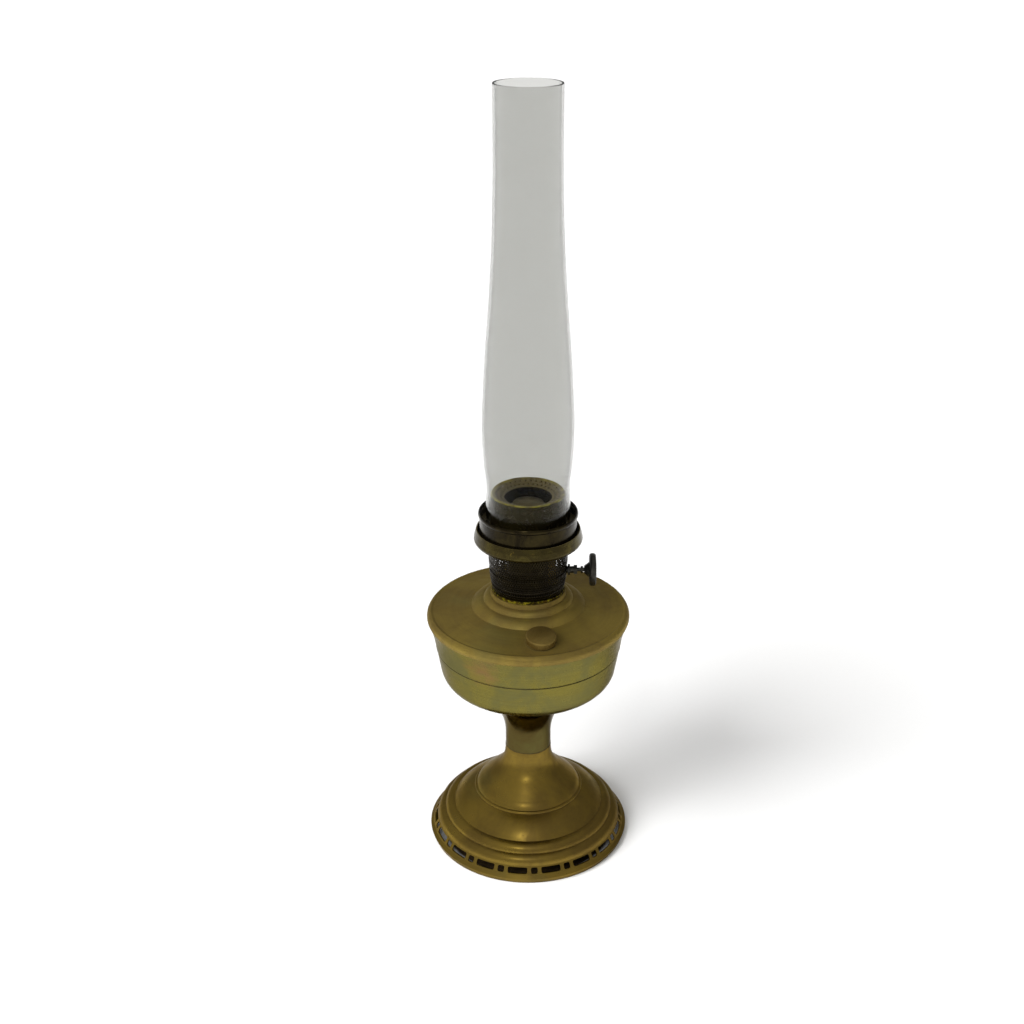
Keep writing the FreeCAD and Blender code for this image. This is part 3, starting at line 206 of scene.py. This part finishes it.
def colour(red, green, blue):
    return (red, green, blue, 1.0)



def brass(name, bright, dull, stain, rough, stain_share=0.5, seam=None, corner_shade=0.5, bare=1.0):
    """Old spun brass: turning marks, cloudy tarnish, stains, pits, a dark line at the seam and
    painted shade in the corners.

    Bare is the share of metal that shows through the tarnish."""
    m = Material(name)
    cloud = m.noise(0.045, detail=6, rough=0.62, bend=0.7)
    patch = m.noise(0.062, detail=4, rough=0.55, bend=0.4, shift=3.1)
    marks = m.noise(0.0011, detail=2, rough=0.6, place=m.lathe_place(0.0016))
    bands = m.noise(0.006, detail=3, rough=0.55, place=m.lathe_place(0.006), shift=1.7)
    pits = m.noise(0.0016, detail=2, rough=0.7, shift=7.3)
    smears = m.noise(0.012, detail=5, rough=0.7, bend=1.2, shift=5.9)

    tone = m.mix(m.between(cloud, 0.36, 0.66), bright, dull)
    tone = m.mix(m.calc("MULTIPLY", m.between(patch, 0.52, 0.72), stain_share), tone, stain)
    tone = m.mix(m.between(bands, 0.35, 0.75, 0.0, 0.22), tone, dull)
    tone = m.mix(m.between(marks, 0.3, 0.8, 0.0, 0.16), tone, colour(0.07, 0.05, 0.02))
    spots = m.between(pits, 0.68, 0.76)
    tone = m.mix(m.calc("MULTIPLY", spots, 0.55), tone, colour(0.05, 0.035, 0.015))

    # Painted shade: the colour darkens where ambient occlusion finds the surface shut in, in
    # corners and creases.
    corner = m.add("AmbientOcclusion", samples=6)
    m.feed(corner, "Distance", 3.5 * MM)
    darkening = m.between(corner.outputs["AO"], 0.4, 0.9, corner_shade, 0.0)
    if seam is not None:
        height = m.parts()[2]
        gap = m.calc("ABSOLUTE", m.calc("SUBTRACT", height, seam))
        line = m.between(gap, 0.15 * MM, 0.75 * MM, 0.65, 0.0)
        line = m.calc("MULTIPLY", line, m.between(smears, 0.3, 0.6, 0.35, 1.0))
        darkening = m.calc("MAXIMUM", darkening, line)
    # The painted shade and the dark seam line darken the colour; further down they also raise the
    # roughness and lower the metal.
    tone = m.mix(darkening, tone, SHADE_AND_SEAM_DARK)

    shine = m.between(cloud, 0.3, 0.7, rough - 0.05, rough + 0.09)
    shine = m.calc("ADD", shine, m.between(smears, 0.35, 0.7, -0.04, 0.07))
    shine = m.calc("ADD", shine, m.calc("MULTIPLY", darkening, 0.25), clamp=True)
    relief = m.bump(marks, 0.012 * MM)
    relief = m.bump(m.calc("SUBTRACT", 1.0, spots), 0.03 * MM, under=relief)
    metal = m.calc("SUBTRACT", bare, m.calc("MULTIPLY", darkening, 0.6))
    return m.finish(tone, shine, relief, metal, Specular_Tint=EDGE_TINT)


def bronze(name, dark, olive, glint, rough, olive_share=0.6, glint_from=0.66, corner_shade=0.7,
           dust=0.0, rim=None):
    """Brass that the flame has darkened: brown-black with olive, painted shade in the corners and
    a few painted glints.

    Dust is how much of it lies on what faces up, and rim is the height of an edge that gets a
    painted highlight."""
    m = Material(name)
    cloud = m.noise(0.014, detail=6, rough=0.65, bend=0.8, shift=2.3)
    fine = m.noise(0.0022, detail=4, rough=0.7)
    marks = m.noise(0.0012, detail=2, place=m.lathe_place(0.002))
    bare = m.noise(0.009, detail=5, rough=0.75, bend=1.5, shift=8.7)
    tone = m.mix(m.calc("MULTIPLY", m.between(cloud, 0.4, 0.66), olive_share), dark, olive)
    tone = m.mix(m.between(fine, 0.35, 0.8, 0.0, 0.45), tone, dark)
    # Painted glints: random patches take the bright glint tone.
    tone = m.mix(m.between(bare, glint_from, glint_from + 0.06, 0.0, 0.8), tone, glint)
    # Painted shade: the colour goes near black where ambient occlusion finds the surface shut in.
    corner = m.add("AmbientOcclusion", samples=6)
    m.feed(corner, "Distance", 3 * MM)
    darkening = m.between(corner.outputs["AO"], 0.35, 0.9, corner_shade, 0.0)
    tone = m.mix(darkening, tone, PAINTED_SHADE_BLACK)
    shine = m.between(cloud, 0.3, 0.7, rough + 0.08, rough - 0.05)
    metal = m.calc("SUBTRACT", 0.95, m.calc("MULTIPLY", darkening, 0.6))
    # Painted highlight: a patchy band of the bright glint tone just under the rim height.
    if rim is not None:
        rim_glint = m.between(m.parts()[2], rim - 1.3 * MM, rim - 0.2 * MM)
        rim_glint = m.calc("MULTIPLY", rim_glint, m.between(cloud, 0.42, 0.56))
        tone = m.mix(rim_glint, tone, PAINTED_GLINT)
    if dust:
        settled = m.between(m.parts(m.facing)[2], 0.25, 0.8, 0.0, dust)
        settled = m.calc("MULTIPLY", settled, m.between(fine, 0.2, 0.6, 0.55, 1.0))
        tone = m.mix(settled, tone, DUST)
        shine = m.calc("ADD", shine, m.calc("MULTIPLY", settled, 0.4))
        metal = m.calc("SUBTRACT", metal, m.calc("MULTIPLY", settled, 0.85), clamp=True)
    relief = m.bump(fine, 0.02 * MM, under=m.bump(marks, 0.015 * MM))
    return m.finish(tone, shine, relief, metal)


def glass():
    """Clear blown glass, slightly wavy, a little dusty."""
    m = Material("chimney_glass")
    wave = m.noise(0.045, detail=2, bend=0.3, place=m.lathe_place(0.06))
    dust = m.noise(0.0035, detail=6, rough=0.75, shift=4.2)
    haze = m.noise(0.05, detail=3, shift=9.4)
    film = m.calc("MULTIPLY", m.between(dust, 0.62, 0.8), m.between(haze, 0.4, 0.7))
    rough = m.between(film, 0.0, 1.0, 0.012, 0.16)
    tint = m.mix(film, colour(0.655, 0.657, 0.64), colour(0.56, 0.555, 0.535))
    # At its edges the light runs a long way through the wall, and leaves it greyer.
    turned = m.add("LayerWeight").outputs["Facing"]
    tint = m.mix(m.between(turned, 0.5, 0.8), tint, colour(0.41, 0.41, 0.40))
    # The dark side of the photo's room leaves little for the glass to mirror.
    m.finish(tint, rough, m.bump(wave, 0.1 * MM), Transmission_Weight=1.0, IOR=1.47,
             Specular_Tint=colour(0.08, 0.08, 0.08))
    # Lamps light what stands inside the glass, as they do in reality.
    clear = m.add("BsdfTransparent")
    clear.inputs["Color"].default_value = colour(0.84, 0.84, 0.825)
    rays = m.add("LightPath")
    either = m.add("MixShader")
    m.feed(either, 0, rays.outputs["Is Shadow Ray"])
    m.tree.links.new(m.shader.outputs[0], either.inputs[1])
    m.tree.links.new(clear.outputs[0], either.inputs[2])
    m.tree.links.new(either.outputs[0], m.tree.nodes["Material Output"].inputs["Surface"])
    return m.data


def steel():
    """Blackened steel, dull and slightly pitted."""
    m = Material("blackened_steel")
    cloud = m.noise(0.005, detail=5, rough=0.65)
    fine = m.noise(0.0006, detail=3, rough=0.7, shift=1.9)
    tone = m.mix(m.between(cloud, 0.35, 0.7), colour(0.028, 0.027, 0.023),
                 colour(0.058, 0.055, 0.045))
    tone = m.mix(m.between(fine, 0.62, 0.75, 0.0, 0.4), tone, colour(0.09, 0.08, 0.055))
    rough = m.between(cloud, 0.3, 0.7, 0.5, 0.36)
    return m.finish(tone, rough, m.bump(fine, 0.03 * MM), 0.85)


def cotton():
    """Woven cotton, charred at its upper edge."""
    m = Material("cotton_wick")
    x, y, z = m.parts()
    turn = m.calc("ARCTAN2", y, x)
    threads = m.calc("SINE", m.calc("MULTIPLY", turn, 90.0))
    rows = m.calc("SINE", m.calc("MULTIPLY", z, 2 * math.pi / (0.9 * MM)))
    weave = m.calc("MULTIPLY", threads, rows)
    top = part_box("wick")[1].z
    fray = m.noise(0.002, detail=4)
    edge = m.calc("ADD", z, m.calc("MULTIPLY", fray, 3 * MM))
    burnt = m.between(edge, top - 4 * MM, top - 0.5 * MM)
    cream = m.mix(m.between(weave, -1.0, 1.0), colour(0.5, 0.44, 0.3), colour(0.72, 0.66, 0.5))
    tone = m.mix(burnt, cream, colour(0.012, 0.010, 0.008))
    return m.finish(tone, 0.92, m.bump(weave, 0.12 * MM), Sheen_Weight=0.3)


def cork():
    """Pressed cork crumbs."""
    m = Material("pressed_cork")
    crumbs = m.add("TexVoronoi")
    m.feed(crumbs, "Vector", m.place)
    m.feed(crumbs, "Scale", 1 / (0.8 * MM))
    tone = m.mix(m.between(crumbs.outputs["Distance"], 0.1, 0.7), colour(0.42, 0.27, 0.14),
                 colour(0.16, 0.09, 0.045))
    return m.finish(tone, 0.85, m.bump(crumbs.outputs["Distance"], 0.1 * MM))


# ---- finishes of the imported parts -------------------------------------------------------

GROOVE_SHARE = 0.671            # of the bowl's height
stem_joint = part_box("stem")[0].z
bowl_low, bowl_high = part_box("font_bowl")
bowl_groove = bowl_low.z + GROOVE_SHARE * (bowl_high.z - bowl_low.z)
# The drum's rim height, where its bronze gets a painted highlight.
drum_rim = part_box("gallery_drum")[1].z
FINISHES = {
    brass("foot_brass", OLIVE, BROWN, GREY_GREEN, 0.34, 0.4, stem_joint): ["foot"],
    brass("stem_brass", colour(0.11, 0.098, 0.03), colour(0.085, 0.06, 0.018),
          colour(0.12, 0.10, 0.045), 0.13, 0.5, stem_joint, 0.7): ["stem"],
    brass("bowl_brass", colour(0.20, 0.168, 0.036), GREY_GREEN, COPPER, 0.28, 0.9,
          bowl_groove): ["font_bowl"],
    brass("font_brass", colour(0.27, 0.195, 0.040), colour(0.20, 0.14, 0.036),
          colour(0.2, 0.175, 0.055), 0.48, 0.5, bare=0.8): ["font_top"],
    brass("cap_brass", colour(0.25, 0.18, 0.05), BROWN, COPPER, 0.46, 0.3, bare=0.85): [
        "filler_cap", "filler_neck"],
    brass("inner_brass", OLIVE, BROWN, GREY_GREEN, 0.3): ["wick_carrier", "wick_rack", "pinion"],
    bronze("collar_brass", DARK_OLIVE, OLIVE, PAINTED_GLINT, 0.2, 0.9, 0.50, 0.4): [
        "burner_collar", "burner_base"],
    bronze("cup_bronze", SOOT, SMOKED_BROWN, DARK_OLIVE, 0.24, 0.8): [
        "chimney_cup", "chimney_springs"],
    bronze("seat_bronze", SOOT, SMOKED_BROWN, DARK_OLIVE, 0.3, 0.8, dust=0.5): [
        "chimney_seat"],
    bronze("saucer_bronze", colour(0.04, 0.031, 0.010), colour(0.075, 0.060, 0.015), OLIVE,
           0.26, 0.85, 0.62, 0.3, dust=0.85): ["gallery_ring"],
    bronze("drum_bronze", colour(0.04, 0.032, 0.010), SMOKED_OLIVE, OLIVE, 0.26, 0.8, 0.68,
           0.4, dust=0.85, rim=drum_rim): ["gallery_drum"],
    bronze("spreader_bronze", colour(0.03, 0.023, 0.008), SMOKED_OLIVE, OLIVE, 0.3, 0.8,
           dust=0.3): ["flame_spreader", "spreader_sleeve"],
    bronze("tube_bronze", SOOT, DARK_OLIVE, BROWN, 0.35): [
        "draft_tube", "outer_wick_tube", "burner_floor", "burner_basket", "bayonet_pins"],
    steel(): ["spindle", "wick_knob", "knob_rivet", "spindle_gland", "gland_nut"],
    cotton(): ["wick"],
    cork(): ["filler_gasket"],
    glass(): ["chimney"],
}
for material, names in FINISHES.items():
    for name in names:
        thing = NODES[name]
        thing.data.materials.clear()
        thing.data.materials.append(material)

# ---- the burner's pierced basket --------------------------------------------------------


def outline(name):
    """The height and radius of a round node's outer side, from the bottom up."""
    rows = {}
    for vertex in NODES[name].data.vertices:
        height = round(vertex.co.z, 5)
        reach = math.hypot(vertex.co.x, vertex.co.y)
        rows[height] = max(rows.get(height, 0.0), reach)
    return sorted(rows.items())


def radius_at(profile, height):
    """The radius of such an outline at this height."""
    before = profile[0]
    for after in profile:
        if after[0] >= height:
            break
        before = after
    span = max(after[0] - before[0], 1e-9)
    share = min(max((height - before[0]) / span, 0.0), 1.0)
    return before[1] + share * (after[1] - before[1])


def new_piece(name, mesh, body, smooth=True):
    """An object from a finished mesh, which moves with a body."""
    data = bpy.data.meshes.new(name)
    mesh.to_mesh(data)
    mesh.free()
    for polygon in data.polygons:
        polygon.use_smooth = smooth
    thing = bpy.data.objects.new(name, data)
    bpy.context.scene.collection.objects.link(thing)
    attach(thing, body)
    return thing


def pierced_basket():
    """Thin sheet with staggered rows of fine round holes, and plain hems at both ends."""
    hem, pitch, hole, wall = 2.0 * MM, 2.0 * MM, 0.62 * MM, 0.35 * MM
    row_share = 0.87            # rows stand closer than the holes in a row
    outer_side = 0.9            # of the radius: what lies further in is another surface
    shaft_hole = 2.2 * MM
    weld = 0.02 * MM
    low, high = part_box("burner_basket")
    profile = [row for row in outline("burner_basket") if row[1] > outer_side * high.x]
    rows = int((high.z - low.z - 2 * hem) / (row_share * pitch))
    cells = int(2 * math.pi * high.x / pitch)
    rise = (high.z - low.z - 2 * hem) / rows
    step = 2 * math.pi / cells
    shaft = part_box("spindle_gland")
    shaft_height = (shaft[0].z + shaft[1].z) / 2
    mesh = bmesh.new()

    def point(turn, height):
        reach = radius_at(profile, height)
        return mesh.verts.new((reach * math.cos(turn), reach * math.sin(turn), height))

    # Around a hole, eight points on the edge of its cell face eight points on the hole.
    ring = [(-1, -1), (0, -1), (1, -1), (1, 0), (1, 1), (0, 1), (-1, 1), (-1, 0)]
    for row in range(rows):
        middle = low.z + hem + (row + 0.5) * rise
        for cell in range(cells):
            turn = (cell + 0.5 * (row % 2)) * step
            across = math.atan2(math.sin(turn), math.cos(turn)) * high.x
            off_shaft = math.hypot(across, middle - shaft_height)
            if off_shaft < shaft_hole:
                continue
            outer = [point(turn + u * step / 2, middle + v * rise / 2) for u, v in ring]
            if off_shaft < shaft_hole + 2 * pitch:
                mesh.faces.new(outer)
                continue
            inner = []
            for u, v in ring:
                size = hole / math.hypot(u, v)
                inner.append(point(turn + u * size / high.x, middle + v * size))
            for one in range(8):
                two = (one + 1) % 8
                mesh.faces.new((outer[one], outer[two], inner[two], inner[one]))
    for bottom, top in ((low.z, low.z + hem), (high.z - hem, high.z)):
        shift = 0.5 * (rows % 2 == 0 and bottom > low.z)
        for half in range(2 * cells):
            one = (half / 2 + shift) * step
            two = one + step / 2
            mesh.faces.new((point(one, bottom), point(two, bottom), point(two, top),
                            point(one, top)))
    bmesh.ops.remove_doubles(mesh, verts=mesh.verts, dist=weld)
    bmesh.ops.recalc_face_normals(mesh, faces=mesh.faces)
    thing = new_piece("pierced_basket", mesh, "burner")
    shell = thing.modifiers.new("sheet", "SOLIDIFY")
    shell.thickness = wall
    shell.offset = -1.0
    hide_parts("burner_basket")
    return thing


basket = pierced_basket()
basket.data.materials.append(
    bronze("basket_bronze", SOOT, colour(0.03, 0.023, 0.009), DARK_OLIVE, 0.3, 0.5))


def cup_seam():
    """The lapped upright seam in the wall of the chimney cup."""
    turn, width, proud = math.radians(-98.2), 1.6 * MM, 0.22 * MM
    foot_gap, lip_gap = 1.5 * MM, 5.5 * MM
    # Across and out, in shares of half the width and of the height over the wall.
    section = [(-1.0, -0.6), (-0.8, 0.75), (-0.3, 1.0), (0.4, 1.0), (0.85, 0.6), (1.0, -0.6)]
    low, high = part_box("chimney_cup")
    bottom, top = low.z + foot_gap, high.z - lip_gap
    profile = outline("chimney_cup")
    between = [reach for height, reach in profile if bottom < height < top]
    wall = min(between, default=radius_at(profile, (bottom + top) / 2))
    mesh = bmesh.new()
    rings = []
    for height in (bottom, top):
        ring = []
        for across, out in section:
            angle = turn + across * width / 2 / wall
            reach = wall + out * proud
            spot = (reach * math.cos(angle), reach * math.sin(angle), height)
            ring.append(mesh.verts.new(spot))
        rings.append(ring)
    count = len(section)
    for one in range(count):
        two = (one + 1) % count
        mesh.faces.new((rings[0][one], rings[0][two], rings[1][two], rings[1][one]))
    mesh.faces.new(rings[0][::-1])
    mesh.faces.new(rings[1])
    bmesh.ops.recalc_face_normals(mesh, faces=mesh.faces)
    return new_piece("cup_seam", mesh, "gallery", smooth=False)


cup_seam().data.materials.append(NODES["chimney_cup"].data.materials[0])

# ---- floor, light and camera ------------------------------------------------------------


def make_floor():
    shade, shade_edge, inset = colour(0.03, 0.02, 0.01), 3 * MM, 9 * MM
    mesh = bmesh.new()
    corners = [(-1, -1), (1, -1), (1, 1), (-1, 1)]
    mesh.faces.new([mesh.verts.new((x * FLOOR_SIZE, y * FLOOR_SIZE, 0.0)) for x, y in corners])
    data = bpy.data.meshes.new("floor")
    mesh.to_mesh(data)
    mesh.free()
    floor = bpy.data.objects.new("floor", data)
    bpy.context.scene.collection.objects.link(floor)
    m = Material("pale_floor")
    grain = m.noise(0.004, detail=3)
    tone = m.mix(grain, colour(0.90, 0.90, 0.90), colour(0.92, 0.92, 0.92))
    # The ground shut in under the foot is in deep shade.
    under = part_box("foot")[1].x - inset
    x, y, _ = m.parts()
    reach = m.calc("SQRT", m.calc("ADD", m.calc("MULTIPLY", x, x), m.calc("MULTIPLY", y, y)))
    tone = m.mix(m.between(reach, under - shade_edge, under, 1.0, 0.0), tone, shade)
    data.materials.append(m.finish(tone, 0.95, Specular_IOR_Level=0.0))


def make_world():
    """A plain studio: a white backdrop, and for the brass to mirror a softer light that is
    brightest overhead on the left and dimmer low down behind the lamp."""
    world = bpy.data.worlds.new("studio")
    bpy.context.scene.world = world
    world.use_nodes = True
    tree = world.node_tree
    sky = tree.nodes["Background"]
    where = tree.nodes.new("ShaderNodeTexCoord")
    slope = tree.nodes.new("ShaderNodeVectorMath")
    slope.operation = "DOT_PRODUCT"
    slope.inputs[1].default_value = SKY_SLOPE
    tree.links.new(where.outputs["Generated"], slope.inputs[0])
    ramp = tree.nodes.new("ShaderNodeMapRange")
    for socket, value in enumerate(SKY_RANGE, start=1):
        ramp.inputs[socket].default_value = value
    tree.links.new(slope.outputs["Value"], ramp.inputs[0])
    rays = tree.nodes.new("ShaderNodeLightPath")
    seen = tree.nodes.new("ShaderNodeMath")
    seen.operation = "MAXIMUM"
    tree.links.new(rays.outputs["Is Camera Ray"], seen.inputs[0])
    tree.links.new(rays.outputs["Is Transmission Ray"], seen.inputs[1])
    level = tree.nodes.new("ShaderNodeMath")
    level.operation = "MAXIMUM"
    tree.links.new(seen.outputs[0], level.inputs[0])
    tree.links.new(ramp.outputs[0], level.inputs[1])
    tree.links.new(level.outputs[0], sky.inputs["Strength"])
    sky.inputs["Color"].default_value = (1.0, 0.995, 0.98, 1.0)


def aim(thing, target):
    heading = Vector(target) - thing.location
    thing.rotation_euler = heading.to_track_quat("-Z", "Y").to_euler()


def make_light(name, kind, place, target, energy, **settings):
    data = bpy.data.lights.new(name, kind)
    data.energy = energy
    for key, value in settings.items():
        setattr(data, key, value)
    light = bpy.data.objects.new(name, data)
    light.location = place
    bpy.context.scene.collection.objects.link(light)
    aim(light, target)
    return light


def make_lights():
    middle = (0.0, 0.0, CAD_BOX[1][2] * LIGHT_AIM)
    sun = make_light("soft_sun", "SUN", SUN_PLACE, middle, SUN_STRENGTH,
                     angle=math.radians(SUN_ANGLE))
    sun.visible_glossy = False
    sun.visible_transmission = False
    glint = make_light("lamp_glint", "AREA", GLINT_PLACE, middle, GLINT_POWER,
                       size=GLINT_SIZE)
    glint.visible_transmission = False


def make_camera():
    data = bpy.data.cameras.new("camera")
    data.sensor_width = 36.0
    data.lens = CAMERA_LENS
    data.shift_x = CAMERA_SHIFT
    camera = bpy.data.objects.new("camera", data)
    camera.location = CAMERA_PLACE
    camera.rotation_euler = (math.radians(90 - CAMERA_PITCH), 0.0, 0.0)
    bpy.context.scene.collection.objects.link(camera)
    bpy.context.scene.camera = camera


make_floor()
make_world()
make_lights()
make_camera()
bpy.context.scene.view_settings.view_transform = "Standard"
